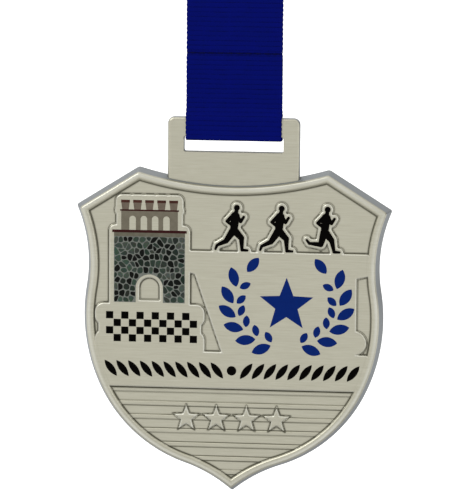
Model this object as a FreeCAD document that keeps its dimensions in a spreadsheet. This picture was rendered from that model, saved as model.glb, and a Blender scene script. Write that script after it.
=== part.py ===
import FreeCAD, Part
import math
import os

# Sports finisher medal hanging from its sewn neck ribbon. Millimetres, +Z up, the relief faces -Y.
# The origin is the axis of the display hook that the wound-up ribbon hangs on.

DIMENSIONS = {
    # ribbon: one tape, sewn into a loop, so every stretch of it is two tapes thick
    "tape_width": 25.0,
    "strap_thick": 1.0,
    "strap_clear": 0.3,
    # the put-away length: three turns wound over the hook and held by an elastic band
    "eye_radius": 3.25,
    "wound_build": 3.2,
    "fold_radius": 0.6,
    "hank_drop": 48.0,
    "tie_height": 5.0,
    "tie_thick": 0.6,
    "tie_gap": 0.1,
    "tie_level": -22.0,
    # the straight strap between the wound ribbon and the medal
    "upper_hinge_level": -53.6,
    "upper_hinge_room": 1.2,
    "twist_level": -64.15,
    "seam_above_bar": 19.1,
    "stitch_length": 1.5,
    "stitch_pitch": 2.4,
    "stitch_thick": 0.2,
    "stitch_width": 0.4,
    "bar_level": -89.0,
    "lower_hinge_above_bar": 5.0,
    "lower_hinge_room": 1.5,
    # hanger: a flat tab with the ribbon slot, set back from the face of the medal
    "bar_height": 5.0,
    "hanger_width": 34.3,
    "hanger_thick": 2.5,
    "hanger_corner": 1.7,
    "slot_width": 25.8,
    "slot_height": 3.9,
    "bight_gap": 0.12,
    "bight_thick": 0.5,
    "bight_sag": 0.5,
    "neck_rise": 0.9,
    # medal body
    "medal_thick": 4.0,
    "wall_draft": 1.05,
    "rim_width": 1.9,
    "field_depth": 0.75,
    "plateau_drop": 0.1,
    "rib_rise": 0.35,
    "back_recess": 0.3,
    "back_border": 3.2,
    # colour fills
    "fill_depth": 0.25,
    "fill_proud": 0.03,
    "stone_rise": 0.1,
    "mortar_drop": 0.05,
}

doc = FreeCAD.newDocument("finisher_medal")
sheet = doc.addObject("Spreadsheet::Sheet", "dims")
for row, (alias, value) in enumerate(DIMENSIONS.items(), start=1):
    sheet.set(f"A{row}", alias)
    sheet.set(f"B{row}", str(value))
    sheet.setAlias(f"B{row}", alias)
doc.recompute()


def dim(alias):
    """A driving dimension, read back from the spreadsheet."""
    return float(getattr(sheet, alias))


# ---------------------------------------------------------------- shared levels, measured from the hook
STRAP_Y = -(dim("fold_radius") + dim("wound_build") - dim("strap_thick") / 2)
BAR_Z = dim("bar_level")
BACK_Y = dim("hanger_thick") / 2
RIM_Y = BACK_Y - dim("medal_thick")
FIELD_Y = RIM_Y + dim("field_depth")
PLATEAU_Y = RIM_Y + dim("plateau_drop")
FILL_Y = PLATEAU_Y - dim("fill_proud")
FILL_BACK_Y = PLATEAU_Y + dim("fill_depth")
CLEAR = 1.0
BIG = 60.0


def at(x, z, y=0.0):
    """A point given from the middle of the hanger's bar, across, up and back."""
    return FreeCAD.Vector(x, STRAP_Y + y, BAR_Z + z)


def add(label, shape):
    """A Part::Feature holding a shape worked out from the spreadsheet."""
    feature = doc.addObject("Part::Feature", label)
    feature.Label = label
    feature.Shape = shape
    return feature


def plate(face, front, back):
    """A flat face drawn in the plane y = 0 made into a plate from depth front to depth back."""
    solid = face.extrude(FreeCAD.Vector(0, back - front, 0))
    solid.translate(FreeCAD.Vector(0, front, 0))
    return solid


def polygon(points):
    corners = [at(x, z) for x, z in points]
    return Part.Face(Part.makePolygon(corners + corners[:1]))


def rectangle(x0, x1, z0, z1):
    return polygon([(x0, z0), (x1, z0), (x1, z1), (x0, z1)])


def disc(x, z, radius):
    circle = Part.Circle(at(x, z), FreeCAD.Vector(0, -1, 0), radius)
    return Part.Face(Part.Wire(circle.toShape()))


def rounded(points, radius):
    """A polygon whose corners are cut to arcs of one radius, listed counter-clockwise."""
    edges = []
    ends = []
    for i, (x, z) in enumerate(points):
        before = FreeCAD.Vector(points[i - 1][0] - x, 0, points[i - 1][1] - z).normalize()
        after_x, after_z = points[(i + 1) % len(points)]
        after = FreeCAD.Vector(after_x - x, 0, after_z - z).normalize()
        half = before.getAngle(after) / 2
        reach = radius / math.tan(half)
        corner = at(x, z)
        inward = (before + after).normalize()
        middle = corner + inward * (radius / math.sin(half) - radius)
        start, end = corner + before * reach, corner + after * reach
        edges.append(Part.Arc(start, middle, end).toShape())
        ends.append((start, end))
    sides = []
    for i, edge in enumerate(edges):
        sides.append(edge)
        gap_start, gap_end = ends[i][1], ends[(i + 1) % len(ends)][0]
        if (gap_end - gap_start).Length > 1e-6:
            sides.append(Part.LineSegment(gap_start, gap_end).toShape())
    return Part.Face(Part.Wire(sides))


def rounded_box(x0, x1, z0, z1, radius):
    return rounded([(x0, z0), (x1, z0), (x1, z1), (x0, z1)], radius)


def block(faces, front, back):
    """Flat faces made into plates and joined where they touch."""
    plates = [plate(face, front, back) for face in faces]
    if len(plates) == 1:
        return plates[0]
    joined = plates[0].multiFuse(plates[1:]).removeSplitter()
    return joined.Solids[0] if len(joined.Solids) == 1 else joined


# ---------------------------------------------------------------- outline of the shield
PEAK = (24.8, -10.7)
SHOULDER = (41.3, -21.05)
FLANK = [(38.65, -42.4), (34.6, -69.85), (12.6, -89.1), (0.0, -96.25)]
FLANK_LEAN = math.radians(23.6)
TOP_DIP = -14.4


def circle_of(start, heading, end):
    """Centre and signed radius of the arc that leaves start along heading and reaches end."""
    across = (-heading[1], heading[0])
    chord = (end[0] - start[0], end[1] - start[1])
    radius = (chord[0] ** 2 + chord[1] ** 2) / (2 * (chord[0] * across[0] + chord[1] * across[1]))
    return (start[0] + across[0] * radius, start[1] + across[1] * radius), radius


def flank_circles():
    """The arcs down the right side, each tangent to the one before: (centre, signed radius).
    A radius above zero has its centre outside the shield, so the side is hollow there."""
    circles = []
    start = SHOULDER
    heading = (-math.sin(FLANK_LEAN), -math.cos(FLANK_LEAN))
    for end in FLANK:
        centre, radius = circle_of(start, heading, end)
        circles.append((centre, radius))
        heading = ((centre[1] - end[1]) / radius, (end[0] - centre[0]) / radius)
        start = end
    return circles


def moved_in(point, centre, radius, inset):
    """A point on an arc, moved square to the arc towards the inside of the shield."""
    share = 1 + inset / radius
    return (centre[0] + (point[0] - centre[0]) * share, centre[1] + (point[1] - centre[1]) * share)


def line_meets_circle(origin, heading, centre, radius, near):
    """Where a line crosses a circle, at the crossing that is nearer to a known point."""
    rel = (origin[0] - centre[0], origin[1] - centre[1])
    along = rel[0] * heading[0] + rel[1] * heading[1]
    root = math.sqrt(along ** 2 - (rel[0] ** 2 + rel[1] ** 2 - radius ** 2))
    steps = (-along - root, -along + root)
    crossings = [(origin[0] + heading[0] * step, origin[1] + heading[1] * step) for step in steps]
    return min(crossings, key=lambda c: math.dist(c, near))


def arc_edge(centre, start, end):
    """The short arc about centre from start to end."""
    half_way = ((start[0] + end[0]) / 2 - centre[0], (start[1] + end[1]) / 2 - centre[1])
    reach = math.dist(centre, start) / math.hypot(*half_way)
    middle = at(centre[0] + half_way[0] * reach, centre[1] + half_way[1] * reach)
    return Part.Arc(at(*start), middle, at(*end)).toShape()


def shield_wire(inset=0.0):
    """The outline of the shield, drawn in by an even distance; with none it is the largest, at the back."""
    def mirrored(point):
        return (-point[0], point[1])

    half, sag = PEAK[0], PEAK[1] - TOP_DIP
    top_radius = (half ** 2 + sag ** 2) / (2 * sag)
    top_centre = (0.0, TOP_DIP + top_radius)
    run = math.dist(PEAK, SHOULDER)
    heading = ((SHOULDER[0] - PEAK[0]) / run, (SHOULDER[1] - PEAK[1]) / run)
    origin = (PEAK[0] + heading[1] * inset, PEAK[1] - heading[0] * inset)
    circles = flank_circles()
    peak = line_meets_circle(origin, heading, top_centre, top_radius + inset, PEAK)
    shoulder = line_meets_circle(origin, heading, circles[0][0], circles[0][1] + inset, SHOULDER)
    joints = [moved_in(point, *circle, inset) for point, circle in zip(FLANK[:-1], circles)]
    last_centre, last_radius = circles[-1]
    tip = (0.0, last_centre[1] + math.sqrt((last_radius + inset) ** 2 - last_centre[0] ** 2))
    stops = [shoulder] + joints + [tip]

    edges = [Part.LineSegment(at(*peak), at(*shoulder)).toShape()]
    for (centre, _), start, end in zip(circles, stops, stops[1:]):
        edges.append(arc_edge(centre, start, end))
    for (centre, _), start, end in reversed(list(zip(circles, stops, stops[1:]))):
        edges.append(arc_edge(mirrored(centre), mirrored(end), mirrored(start)))
    edges.append(Part.LineSegment(at(*mirrored(shoulder)), at(*mirrored(peak))).toShape())
    edges.append(Part.Arc(at(*mirrored(peak)), at(0, TOP_DIP - inset), at(*peak)).toShape())
    return Part.Wire(edges)


def shrunk(inset):
    return Part.Face(shield_wire(inset))


# ---------------------------------------------------------------- pictures on the face
def around(x, z, radius, angle):
    return at(x + radius * math.cos(angle), z + radius * math.sin(angle))


def limb(x0, z0, r0, x1, z1, r1):
    """A tapering bar with round ends: the outline of two circles."""
    run = math.hypot(x1 - x0, z1 - z0)
    lean = math.atan2(z1 - z0, x1 - x0)
    spread = math.acos((r0 - r1) / run)
    near_left = around(x0, z0, r0, lean + spread)
    near_right = around(x0, z0, r0, lean - spread)
    far_left = around(x1, z1, r1, lean + spread)
    far_right = around(x1, z1, r1, lean - spread)
    edges = [
        Part.LineSegment(near_left, far_left).toShape(),
        Part.Arc(far_left, around(x1, z1, r1, lean), far_right).toShape(),
        Part.LineSegment(far_right, near_right).toShape(),
        Part.Arc(near_right, around(x0, z0, r0, lean + math.pi), near_left).toShape(),
    ]
    return Part.Face(Part.Wire(edges))


# A running figure, from the middle of its hips: (x, z, radius) at both ends of each limb.
RUNNER_HEAD = (0.75, 6.15, 0.78)
RUNNER_BODY = [
    (0.0, 0.2, 0.80, 0.35, 3.9, 1.00),      # trunk
    (0.45, 4.3, 0.55, 0.7, 5.6, 0.40),      # neck
    (-0.15, 4.1, 0.52, -1.75, 2.6, 0.38),   # rear upper arm
    (-1.75, 2.6, 0.38, -0.55, 1.55, 0.30),  # rear forearm
    (0.8, 4.0, 0.50, 1.75, 2.55, 0.38),     # front upper arm
    (1.75, 2.55, 0.38, 2.55, 3.75, 0.30),   # front forearm
]
LONG_STRIDE = [
    (-0.2, 0.1, 0.85, -2.0, -2.6, 0.58),    # rear thigh
    (-2.0, -2.6, 0.55, -4.35, -3.75, 0.32),  # rear shin
    (-4.35, -3.75, 0.34, -4.75, -4.75, 0.26),  # rear shoe
    (0.25, 0.1, 0.85, 2.0, -1.75, 0.62),    # front thigh
    (2.0, -1.75, 0.58, 2.15, -4.75, 0.34),  # front shin
    (2.15, -4.85, 0.36, 3.55, -4.95, 0.26),  # front shoe
]
HEEL_UP = [
    (-0.1, 0.1, 0.85, -0.95, -3.0, 0.58),   # rear thigh
    (-0.95, -3.0, 0.55, -3.9, -2.75, 0.32),  # rear shin
    (-3.9, -2.75, 0.34, -4.6, -1.9, 0.26),  # rear shoe
    (0.25, 0.1, 0.85, 1.85, -1.85, 0.62),   # front thigh
    (1.85, -1.85, 0.58, 2.5, -4.75, 0.34),  # front shin
    (2.5, -4.85, 0.36, 3.9, -4.95, 0.26),   # front shoe
]
RUNNERS = [(0.35, -26.85, LONG_STRIDE), (12.0, -26.85, LONG_STRIDE), (23.9, -26.85, HEEL_UP)]
RUNNER_GIRTH = 1.2
RUNNER_OUTLINE = 0.7


def runner(x, z, legs, grow=0.0):
    """One running figure, with every edge moved out by grow."""
    head_x, head_z, head_radius = RUNNER_HEAD
    faces = [disc(x + head_x, z + head_z, head_radius + grow)]
    for x0, z0, r0, x1, z1, r1 in RUNNER_BODY + legs:
        near, far = r0 * RUNNER_GIRTH + grow, r1 * RUNNER_GIRTH + grow
        faces.append(limb(x + x0, z + z0, near, x + x1, z + z1, far))
    return faces


def star(x, z, outer, inner_share=0.42):
    points = []
    for i in range(10):
        radius = outer if i % 2 == 0 else outer * inner_share
        angle = math.pi / 2 + i * math.pi / 5
        points.append((x + radius * math.cos(angle), z + radius * math.sin(angle)))
    return polygon(points)


def leaf(x, z, angle, length, width):
    """A pointed leaf from its stalk end (x, z): two arcs that meet at both tips."""
    forward_x, forward_z = math.cos(angle), math.sin(angle)
    tip = (x + length * forward_x, z + length * forward_z)
    widest = 0.45 * length
    belly = (x + widest * forward_x, z + widest * forward_z)
    left = (belly[0] - width / 2 * forward_z, belly[1] + width / 2 * forward_x)
    right = (belly[0] + width / 2 * forward_z, belly[1] - width / 2 * forward_x)
    upper_edge = Part.Arc(at(x, z), at(*left), at(*tip)).toShape()
    lower_edge = Part.Arc(at(*tip), at(*right), at(x, z)).toShape()
    return Part.Face(Part.Wire([upper_edge, lower_edge]))


# Laurel spray round a star, in the place of the large figure on the right of the face.
SPRAY = {"x": 14.2, "z": -46.0, "star": 7.3, "half_width": 13.4, "drop": 10.7, "rise": 8.2}
LEAF_PAIRS = 6
OUTER_LEAF, INNER_LEAF, TIP_LEAF, LEAF_GAP = 5.3, 3.1, 4.8, 0.46


def spray_stem(t):
    """A point and heading along the right-hand branch, t from 0 at its foot to 1 at its tip."""
    angle = math.radians(-80 + 118 * t)
    x = SPRAY["half_width"] * math.cos(angle)
    reach = SPRAY["drop"] if angle < 0 else SPRAY["rise"] / math.sin(math.radians(38))
    z = reach * math.sin(angle)
    heading = math.atan2(reach * math.cos(angle), -SPRAY["half_width"] * math.sin(angle))
    return x, z, heading


def laurel(side):
    """Leaves of one branch, in pairs that fan out from the stem, with one more at its tip."""
    leaves = []
    for i in range(LEAF_PAIRS + 1):
        x, z, heading = spray_stem(0.06 + 0.94 * i / LEAF_PAIRS)
        fans = [(-0.62, OUTER_LEAF, 2.6), (0.80, INNER_LEAF, 1.8)]
        if i == LEAF_PAIRS:
            fans = [(0.0, TIP_LEAF, 2.5)]
        for fan, length, width in fans:
            aside = heading + (math.copysign(math.pi / 2, fan) if fan else 0.0)
            foot_x, foot_z = x + LEAF_GAP * math.cos(aside), z + LEAF_GAP * math.sin(aside)
            angle = heading + fan
            if side < 0:
                foot_x, angle = -foot_x, math.pi - angle
            leaves.append(leaf(SPRAY["x"] + foot_x, SPRAY["z"] + foot_z, angle, length, width))
    return leaves


# Chequered finish band, in the place of the upper word.
CHEQUER = {"left": -33.0, "top": -48.6, "pitch": 2.0, "size": 1.9, "columns": 12, "rows": 4}


def chequers():
    squares = []
    for column in range(CHEQUER["columns"]):
        for line in range(CHEQUER["rows"]):
            if (column + line) % 2 == 0:
                x = CHEQUER["left"] + column * CHEQUER["pitch"]
                z = CHEQUER["top"] - line * CHEQUER["pitch"]
                squares.append(rectangle(x, x + CHEQUER["size"], z - CHEQUER["size"], z))
    return squares


# Row of slanting leaves either side of a berry, in the place of the lower words.
BORDER = {"z": -63.6, "first": 2.2, "pitch": 3.1, "count": 10, "length": 5.3, "width": 1.75,
          "lean": 38.0, "berry": 1.25}


def border_leaves():
    faces = [disc(0, BORDER["z"], BORDER["berry"])]
    for side in (-1, 1):
        for i in range(BORDER["count"]):
            x = side * (BORDER["first"] + i * BORDER["pitch"])
            lean = math.radians(90 - BORDER["lean"])
            angle = lean if side > 0 else math.pi - lean
            foot_z = BORDER["z"] - BORDER["length"] / 2 * math.sin(lean)
            faces.append(leaf(x, foot_z, angle, BORDER["length"], BORDER["width"]))
    return faces


# Plain stone tower on the left of the face.
TOWER = {
    "x": -21.65,
    "foot": -46.1,
    "wall_half": 9.3,
    "wall_top": -28.75,
    "frieze_top": -27.75,
    "cornice_half": 9.75,
    "cornice_top": -27.05,
    "gallery_half": 7.4,
    "gallery_top": -22.1,
    "course_half": 7.7,
    "course_top": -21.7,
    "merlon_top": -19.9,
    "cap_top": -19.2,
    "gate_half": 2.55,
    "gate_top": -39.7,
    "gate_foot": -45.4,
    "gate_band": 1.0,
}
MERLONS = 5
MERLON_HALF_FOOT, MERLON_HALF_TOP, CAP_HALF = 0.85, 1.1, 1.15
WINDOWS = 4
WINDOW_PITCH, WINDOW_HALF, WINDOW_LINTEL = 2.95, 0.85, 1.25


def arch(x, half, foot, top):
    """A round-headed opening."""
    spring = top - half
    edges = [
        Part.LineSegment(at(x - half, foot), at(x + half, foot)).toShape(),
        Part.LineSegment(at(x + half, foot), at(x + half, spring)).toShape(),
        Part.Arc(at(x + half, spring), at(x, top), at(x - half, spring)).toShape(),
        Part.LineSegment(at(x - half, spring), at(x - half, foot)).toShape(),
    ]
    return Part.Face(Part.Wire(edges))


def tower_box(half, low, high):
    return rectangle(TOWER["x"] - half, TOWER["x"] + half, low, high)


def merlon_centres():
    first = TOWER["x"] - TOWER["gallery_half"] + MERLON_HALF_TOP
    pitch = 2 * (TOWER["gallery_half"] - MERLON_HALF_TOP) / (MERLONS - 1)
    return [first + pitch * i for i in range(MERLONS)]


def merlons():
    faces = []
    for x in merlon_centres():
        low, high = TOWER["course_top"], TOWER["merlon_top"]
        faces.append(polygon([(x - MERLON_HALF_FOOT, low), (x + MERLON_HALF_FOOT, low),
                              (x + MERLON_HALF_TOP, high), (x - MERLON_HALF_TOP, high)]))
    return faces


def merlon_caps():
    return [rectangle(x - CAP_HALF, x + CAP_HALF, TOWER["merlon_top"], TOWER["cap_top"])
            for x in merlon_centres()]


def gallery():
    face = tower_box(TOWER["gallery_half"], TOWER["cornice_top"], TOWER["gallery_top"])
    for i in range(WINDOWS):
        x = TOWER["x"] + (i - (WINDOWS - 1) / 2) * WINDOW_PITCH
        face = face.cut(arch(x, WINDOW_HALF, TOWER["cornice_top"], TOWER["gallery_top"] - WINDOW_LINTEL))
    return face


def gate(grow=0.0):
    return arch(TOWER["x"], TOWER["gate_half"] + grow, TOWER["gate_foot"], TOWER["gate_top"] + grow)


def tower_wall():
    gap = arch(TOWER["x"], TOWER["gate_half"] + TOWER["gate_band"], TOWER["foot"] - CLEAR,
               TOWER["gate_top"] + TOWER["gate_band"])
    return tower_box(TOWER["wall_half"], TOWER["foot"], TOWER["wall_top"]).cut(gap)


def stones():
    """Rubble courses: ellipses of uneven size, every second course shifted by half a stone."""
    faces = []
    courses, across = 8, 9
    course_rise = (TOWER["wall_top"] - TOWER["foot"]) / courses
    pitch = 2 * TOWER["wall_half"] / across
    inside = tower_wall()
    for line in range(courses):
        shift = pitch / 2 if line % 2 else 0.0
        for column in range(across):
            wobble = math.sin(12.9898 * (line * 17 + column * 5 + 1)) * 43758.5453
            wobble -= math.floor(wobble)
            x = TOWER["x"] - TOWER["wall_half"] + pitch * (column + 0.5) + (shift - pitch / 4)
            z = TOWER["foot"] + course_rise * (line + 0.5) + 0.3 * (wobble - 0.5)
            half_wide = pitch * (0.36 + 0.10 * wobble)
            half_tall = course_rise * (0.45 - 0.08 * wobble)
            sides = 9
            points = []
            for k in range(sides):
                angle = 2 * math.pi * (k + wobble) / sides
                points.append((x + half_wide * math.cos(angle), z + half_tall * math.sin(angle)))
            stone = polygon(points).common(inside)
            if stone.Area > 0.9:
                faces.extend(stone.Faces)
    return faces


# ---------------------------------------------------------------- raised ground that carries the pictures
def plateau():
    """Flat ground round each picture, just below the rim; what is left between is the sunken field."""
    faces = [
        rounded_box(-31.0, -13.3, -30.0, -17.6, 1.8),
        rounded_box(-31.3, -13.0, -23.5, -20.3, 1.1),
        rounded_box(-33.1, -11.3, -48.0, -25.9, 1.2),
        rounded_box(-36.1, -7.0, -52.4, -46.3, 2.4),
        rounded_box(-35.2, -7.9, -59.5, -49.0, 2.0),
        rounded_box(-36.1, -7.0, -60.5, -53.4, 2.4),
        rounded([(-2.3, -60.5), (32.5, -60.5), (32.5, -38.9), (36.5, -38.0), (36.5, -32.1), (-12.0, -32.1),
                 (-12.0, -37.8), (-9.9, -38.6)], 0.6),
        disc(31.9, -55.6, 3.3),
        rounded_box(-36.9, 36.4, -66.0, -58.6, 1.8),
        rectangle(-41.0, 41.0, PANEL_TOP, -61.2),
    ]
    for x, z, legs in RUNNERS:
        faces.extend(runner(x, z, legs, RUNNER_OUTLINE))
    return faces


PANEL_TOP = -68.6
RIB_PITCH = 3.58
RIB_HEIGHT = 1.25
STAR_ROW = {"z": -76.5, "pitch": 7.9, "size": 3.8, "count": 4}


def star_row():
    first = -(STAR_ROW["count"] - 1) / 2 * STAR_ROW["pitch"]
    return [star(first + i * STAR_ROW["pitch"], STAR_ROW["z"], STAR_ROW["size"])
            for i in range(STAR_ROW["count"])]


def ribs():
    """Level ribs across the foot panel."""
    faces = []
    z = PANEL_TOP
    while z > FLANK[-1][1]:
        faces.append(rectangle(-41.0, 41.0, z - RIB_HEIGHT, z))
        z -= RIB_PITCH
    return faces


# ---------------------------------------------------------------- the casting
def box_feature(label, length, width, height, x, y, z):
    """A Part::Box whose sizes and place are expressions on the spreadsheet."""
    box = doc.addObject("Part::Box", label)
    box.Label = label
    for name, expression in zip(("Length", "Width", "Height"), (length, width, height)):
        box.setExpression(name, expression)
    for name, expression in zip("xyz", (x, y, z)):
        box.setExpression(f"Placement.Base.{name}", expression)
    return box


STRAP_PLACE = "-(dims.fold_radius + dims.wound_build - dims.strap_thick / 2)"
TAB_ROOT = 22.0

back_edge = shield_wire()
back_edge.translate(FreeCAD.Vector(0, BACK_Y, 0))
front_edge = shield_wire(dim("wall_draft"))
front_edge.translate(FreeCAD.Vector(0, RIM_Y, 0))
shield = add("shield_blank", Part.makeLoft([back_edge, front_edge], True, True))

tab = box_feature(
    "hanger_blank", "dims.hanger_width", "dims.hanger_thick", f"dims.bar_height / 2 + {TAB_ROOT}",
    "-dims.hanger_width / 2", f"{STRAP_PLACE} - dims.hanger_thick / 2", f"dims.bar_level - {TAB_ROOT}")
doc.recompute()
top_corners = []
for number, edge in enumerate(tab.Shape.Edges, start=1):
    runs_through = edge.BoundBox.YLength > 1
    if runs_through and abs(edge.BoundBox.ZMax - tab.Shape.BoundBox.ZMax) < 0.01:
        top_corners.append(number)
hanger = doc.addObject("Part::Fillet", "hanger")
hanger.Base = tab
hanger.Edges = [(number, dim("hanger_corner"), dim("hanger_corner")) for number in top_corners]
slot = box_feature(
    "slot_cutter", "dims.slot_width", "dims.hanger_thick + 4", "dims.slot_height",
    "-dims.slot_width / 2", f"{STRAP_PLACE} - dims.hanger_thick / 2 - 2",
    "dims.bar_level - dims.bar_height / 2 - dims.slot_height")
doc.recompute()

foot_panel = rectangle(-BIG, BIG, -2 * BIG, PANEL_TOP)
raised = [
    block(plateau(), PLATEAU_Y, BACK_Y),
    block([rib.common(foot_panel).Faces[0] for rib in ribs()], FIELD_Y - dim("rib_rise"), BACK_Y),
    block(star_row(), PLATEAU_Y, BACK_Y),
]
sunk = plate(shrunk(dim("wall_draft") + dim("rim_width")), RIM_Y - CLEAR, FIELD_Y).cut(raised)
gate_opening = block([gate()], RIM_Y - CLEAR, FIELD_Y)
back_panel = plate(shrunk(dim("back_border")), BACK_Y - dim("back_recess"), BACK_Y + CLEAR)

fill_faces = {
    "tower_mortar": [tower_wall()],
    "tower_frieze": [tower_box(TOWER["wall_half"], TOWER["wall_top"], TOWER["frieze_top"])],
    "tower_cornice": [tower_box(TOWER["cornice_half"], TOWER["frieze_top"], TOWER["cornice_top"])],
    "tower_gallery": [gallery()],
    "tower_string_course": [tower_box(TOWER["course_half"], TOWER["gallery_top"], TOWER["course_top"])],
    "tower_merlons": merlons(),
    "merlon_caps": merlon_caps(),
    "laurel_left": laurel(-1),
    "laurel_right": laurel(1),
    "large_star": [star(SPRAY["x"], SPRAY["z"], SPRAY["star"])],
    "chequered_band": chequers(),
    "leaf_border": border_leaves(),
}
for number, (x, z, legs) in enumerate(RUNNERS, start=1):
    fill_faces[f"runner_{number}"] = runner(x, z, legs)

casting = shield.Shape.fuse(hanger.Shape).cut([slot.Shape, sunk, gate_opening, back_panel])
pockets = [block(faces, PLATEAU_Y - CLEAR, FILL_BACK_Y) for faces in fill_faces.values()]
casting = casting.cut(pockets).removeSplitter()

parts = [add("medal_casting", casting.Solids[0] if len(casting.Solids) == 1 else casting)]
MORTAR_Y = PLATEAU_Y + dim("mortar_drop")
for name, faces in fill_faces.items():
    front = MORTAR_Y if name == "tower_mortar" else FILL_Y
    parts.append(add(name, block(faces, front, FILL_BACK_Y)))
parts.append(add("tower_stones", block(stones(), MORTAR_Y - dim("stone_rise"), MORTAR_Y)))

# ---------------------------------------------------------------- the ribbon
HALF_TAPE = dim("tape_width") / 2


def hank_outline(build):
    """Side view of a flattened loop round the hook: its inner edge moved out by build."""
    wide, narrow = dim("eye_radius") + build, dim("fold_radius") + build
    drop = dim("hank_drop")
    spread = math.acos((wide - narrow) / drop)

    def on(level, radius, angle):
        return FreeCAD.Vector(0, radius * math.sin(angle), level - radius * math.cos(angle))

    edges = [
        Part.LineSegment(on(0, wide, spread), on(-drop, narrow, spread)).toShape(),
        Part.Arc(on(-drop, narrow, spread), on(-drop, narrow, 0), on(-drop, narrow, -spread)).toShape(),
        Part.LineSegment(on(-drop, narrow, -spread), on(0, wide, -spread)).toShape(),
        Part.Arc(on(0, wide, -spread), on(0, wide, math.pi), on(0, wide, spread)).toShape(),
    ]
    return Part.Face(Part.Wire(edges))


def across(face, half_width):
    """A side view made into a solid of even width, centred on the strap."""
    solid = face.extrude(FreeCAD.Vector(2 * half_width, 0, 0))
    solid.translate(FreeCAD.Vector(-half_width, 0, 0))
    return solid


hank = across(hank_outline(dim("wound_build")).cut(hank_outline(0.0)), HALF_TAPE)
parts.append(add("ribbon_hank", hank))

tie_inside = across(hank_outline(dim("wound_build") + dim("tie_gap")), HALF_TAPE + dim("tie_gap"))
tie_reach = dim("tie_gap") + dim("tie_thick")
tie_outside = across(hank_outline(dim("wound_build") + tie_reach), HALF_TAPE + tie_reach)
tie_slice = Part.makeBox(BIG, BIG, dim("tie_height"),
                         FreeCAD.Vector(-BIG / 2, -BIG / 2, dim("tie_level") - dim("tie_height") / 2))
parts.append(add("hank_tie", tie_outside.cut(tie_inside).common(tie_slice)))

STRAP_X = "-dims.tape_width / 2"
STRAP_FRONT = f"{STRAP_PLACE} - dims.strap_thick / 2"
upper_low = "dims.twist_level + dims.strap_clear / 2"
parts.append(box_feature(
    "strap_upper", "dims.tape_width", "dims.strap_thick",
    f"dims.upper_hinge_level - dims.upper_hinge_room - ({upper_low})", STRAP_X, STRAP_FRONT, upper_low))
lower_low = "dims.bar_level + dims.lower_hinge_above_bar + dims.lower_hinge_room"
parts.append(box_feature(
    "strap_lower", "dims.tape_width", "dims.strap_thick",
    f"dims.twist_level - dims.strap_clear / 2 - ({lower_low})", STRAP_X, STRAP_FRONT, lower_low))

# the turn of the tape round the bar, drawn from the side
bar_back, bar_top = dim("hanger_thick") / 2, dim("bar_height") / 2
gap, thick = dim("bight_gap"), dim("bight_thick")
neck_top = bar_top + dim("neck_rise")
outer_y, outer_z = bar_back + gap + thick, bar_top + gap + thick
inner_y, inner_z = bar_back + gap, bar_top + gap
sag = dim("bight_sag")
outer = Part.makePolygon([
    FreeCAD.Vector(0, STRAP_Y + y, BAR_Z + z) for y, z in (
        (-thick, neck_top), (thick, neck_top), (outer_y, inner_z), (outer_y, -outer_z + thick - sag),
        (outer_y - thick, -outer_z - sag), (-outer_y + thick, -outer_z - sag),
        (-outer_y, -outer_z + thick - sag), (-outer_y, inner_z), (-thick, neck_top))])
inner = Part.makePolygon([
    FreeCAD.Vector(0, STRAP_Y + y, BAR_Z + z) for y, z in (
        (-inner_y, inner_z), (inner_y, inner_z), (inner_y, -inner_z - sag),
        (-inner_y, -inner_z - sag), (-inner_y, inner_z))])
parts.append(add("ribbon_bight", across(Part.Face(outer).cut(Part.Face(inner)), HALF_TAPE)))

# one line of stitches across the strap, showing on both faces
stitches = []
stitch_count = int((dim("tape_width") - dim("stitch_length")) / dim("stitch_pitch")) + 1
for number in range(stitch_count):
    middle = (number - (stitch_count - 1) / 2) * dim("stitch_pitch")
    for face_y in (STRAP_Y - dim("strap_thick") / 2 - dim("stitch_thick"), STRAP_Y + dim("strap_thick") / 2):
        corner = FreeCAD.Vector(middle - dim("stitch_length") / 2, face_y,
                                BAR_Z + dim("seam_above_bar") - dim("stitch_width") / 2)
        stitches.append(Part.makeBox(dim("stitch_length"), dim("stitch_thick"), dim("stitch_width"), corner))
parts.append(add("seam_stitching", Part.makeCompound(stitches)))
doc.recompute()

# ---------------------------------------------------------------- check and export
for item in doc.Objects:
    if "Invalid" in item.State or "Error" in item.State:
        raise RuntimeError(f"{item.Label} did not compute: {item.State}")
for part in parts:
    if part.Shape.isNull() or not part.Shape.isValid() or not part.Shape.Solids:
        raise RuntimeError(f"{part.Label} is not a sound solid")
os.makedirs("parts", exist_ok=True)
for part in parts:
    part.Shape.exportStep(f"parts/{part.Label}.step")
    box = part.Shape.BoundBox
    extent = (f"x {box.XMin:.2f} to {box.XMax:.2f}, y {box.YMin:.2f} to {box.YMax:.2f}, "
              f"z {box.ZMin:.2f} to {box.ZMax:.2f}")
    print(f"{part.Label}: {len(part.Shape.Solids)} solids, {part.Shape.Volume:.1f} mm3, {extent}")
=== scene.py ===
import math
import bmesh
import bpy
import numpy as np
from mathutils import Matrix, Quaternion, Vector, geometry, noise


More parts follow.
